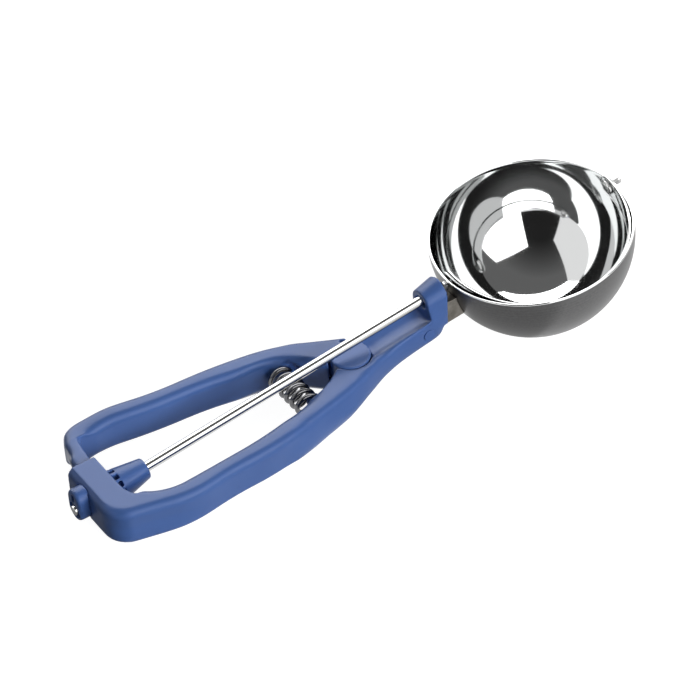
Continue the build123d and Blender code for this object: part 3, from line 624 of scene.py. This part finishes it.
def only_mirrored(made):
    """Hides a piece of the studio from all but metal and gloss."""
    for kind in ("camera", "diffuse", "transmission", "shadow", "volume_scatter"):
        setattr(made, "visible_" + kind, False)


def reflector(name, corners, facing, distance, colour, strength):
    """Flat panel whose corners lie in the given directions."""
    normal = from_angles(*facing)
    points = []
    for corner in corners:
        ray = from_angles(*corner)
        points.append(ray * (distance / ray.dot(normal)) / MM)
    made = mesh_piece(name, points, [tuple(range(len(points)))], [glow(name, colour, strength)])
    only_mirrored(made)


reflector("front_panel", [(-111, 31.5), (-41.3, 44.5), (-50, 80), (-113, 80)], (-80, 60), 1.6,
          "#FFFFFF", 2.7)
reflector("left_panel", [(199, 40.7), (199, 82), (109, 82), (109, 38)], (154, 62), 1.9,
          "#E8E8E8", 1.25)
reflector("far_panel", [(109, 38), (109, 82), (4, 80), (9, 44.6)], (57, 62), 1.9, "#FAFAFA", 5.0)

canopy_points, canopy_faces = [], []
for ring in range(CANOPY_RINGS):
    for i in range(CANOPY_SPOKES):
        ray = from_angles(i * 360 / CANOPY_SPOKES, RING_DEGREES * ring + 0.01)
        canopy_points.append(tuple(ray * CANOPY_R / MM))
for ring in range(CANOPY_RINGS - 1):
    for i in range(CANOPY_SPOKES):
        a = ring * CANOPY_SPOKES + i
        b = ring * CANOPY_SPOKES + (i + 1) % CANOPY_SPOKES
        canopy_faces.append((a, b, b + CANOPY_SPOKES, a + CANOPY_SPOKES))
# The canopy glows by itself with painted light, faintest towards the camera's side, and only gloss
# sees it.
cloth, tree = surface("canopy_painted_glow")
where = add(tree, "ShaderNodeTexCoord")
away = add(tree, "ShaderNodeVectorMath", {0: where.outputs["Object"],
                                          1: tuple(from_angles(225, 55) / CANOPY_R)},
           operation="DOT_PRODUCT")
dark = add(tree, "ShaderNodeMapRange", {"Value": away.outputs["Value"], "From Min": 0.45,
                                        "From Max": 0.95, "To Min": 0.15, "To Max": 0.02})
light = add(tree, "ShaderNodeEmission", {"Strength": dark.outputs["Result"]})
add(tree, "ShaderNodeOutputMaterial", {"Surface": light.outputs["Emission"]})
canopy = mesh_piece("dark_canopy", canopy_points, canopy_faces, [cloth])
only_mirrored(canopy)


def shade_card(name, x0, x1, y0, y1, colour):
    """Grey card a millimetre above the table."""
    middle = ROD_Z - BOWL_OUT / math.cos(FLOOR_TILT) + 1
    z0, z1 = [middle - x * math.tan(FLOOR_TILT) for x in (x0, x1)]
    corners = [(x0, y0, z0), (x1, y0, z1), (x1, y1, z1), (x0, y1, z0)]
    made = mesh_piece(name, corners, [(0, 1, 2, 3)], [glow(name, colour, 1.0)])
    only_mirrored(made)


shade_card("rear_card", -420, -154, -40, 250, "#8C8C8C")
shade_card("near_card", -72, -14, -60, 4, "#CECECE")


def soft_lamp(name, azimuth, zenith, size, watts):
    """Large soft lamp aimed at the scoop; metal and gloss see the panels instead of it."""
    data = bpy.data.lights.new(name, "AREA")
    data.shape, data.size, data.size_y, data.energy = "RECTANGLE", size, size * 0.7, watts
    lamp = bpy.data.objects.new(name, data)
    bpy.context.scene.collection.objects.link(lamp)
    ray = from_angles(azimuth, zenith)
    lamp.location = ray * LAMP_FAR + LAMP_CENTRE
    lamp.rotation_euler = ray.to_track_quat("Z", "Y").to_euler()
    lamp.visible_glossy = False


soft_lamp("front_lamp", -72, 70, 1.2, 29)
soft_lamp("far_lamp", 55, 50, 1.5, 11)


def seen_white(tree):
    """1 for camera, glossy and transmission rays, which see the studio white; else 0."""
    path = add(tree, "ShaderNodeLightPath")
    seen = add(tree, "ShaderNodeMath", {0: path.outputs["Is Camera Ray"],
                                        1: path.outputs["Is Glossy Ray"]}, operation="MAXIMUM")
    return add(tree, "ShaderNodeMath", {0: seen.outputs[0],
                                        1: path.outputs["Is Transmission Ray"]},
               operation="MAXIMUM").outputs[0]


world = bpy.data.worlds.new("studio_air")
bpy.context.scene.world = world
world.use_nodes = True
tree = world.node_tree
tree.nodes.clear()
level = add(tree, "ShaderNodeMapRange", {"Value": seen_white(tree), "To Min": 0.14,
                                         "To Max": 1.0})
air = add(tree, "ShaderNodeBackground", {"Color": linear("#FFFFFF"),
                                         "Strength": level.outputs["Result"]})
add(tree, "ShaderNodeOutputWorld", {"Surface": air.outputs[0]})

table, tree = surface("white_table")
lift = add(tree, "ShaderNodeMath", {0: seen_white(tree), 1: 0.96}, operation="MULTIPLY")
base = add(tree, "ShaderNodeBsdfDiffuse", {"Color": linear("#8C8C8C")})
own = add(tree, "ShaderNodeEmission", {"Color": linear("#FFFFFF"),
                                       "Strength": lift.outputs[0]})
both = add(tree, "ShaderNodeAddShader", {0: base.outputs[0], 1: own.outputs[0]})
add(tree, "ShaderNodeOutputMaterial", {"Surface": both.outputs[0]})
foot = Vector((0, 0, ROD_Z)) - FLOOR_UP * (BOWL_OUT + 0.02)
across = Vector((math.cos(FLOOR_TILT), 0, -math.sin(FLOOR_TILT)))
corners = []
for sx, sy in ((-1, -1), (1, -1), (1, 1), (-1, 1)):
    corners.append(tuple(foot + across * sx * FLOOR_HALF + Vector((0, sy * FLOOR_HALF, 0))))
floor = mesh_piece("table_top", corners, [(0, 1, 2, 3)], [table])

# The camera's axes: to the right and down across its view, and the way it looks.
right = Vector((0.81337838, -0.56415591, -0.14192859))
down = Vector((-0.49447967, -0.54196788, -0.67952974))
forward = Vector((0.30643999, 0.62289560, -0.71978858))
stand = Vector((-0.343503, -0.564923, 0.648928))
camera_data = bpy.data.cameras.new("camera")
camera_data.lens, camera_data.sensor_width = 162.493, 36
camera_data.clip_start, camera_data.clip_end = 0.05, 20
camera = bpy.data.objects.new("camera", camera_data)
bpy.context.scene.collection.objects.link(camera)
turn = Matrix((right, -down, -forward)).transposed()
camera.matrix_world = Matrix.Translation(stand) @ turn.to_4x4()
bpy.context.scene.camera = camera
bpy.context.scene.view_settings.view_transform = "Standard"
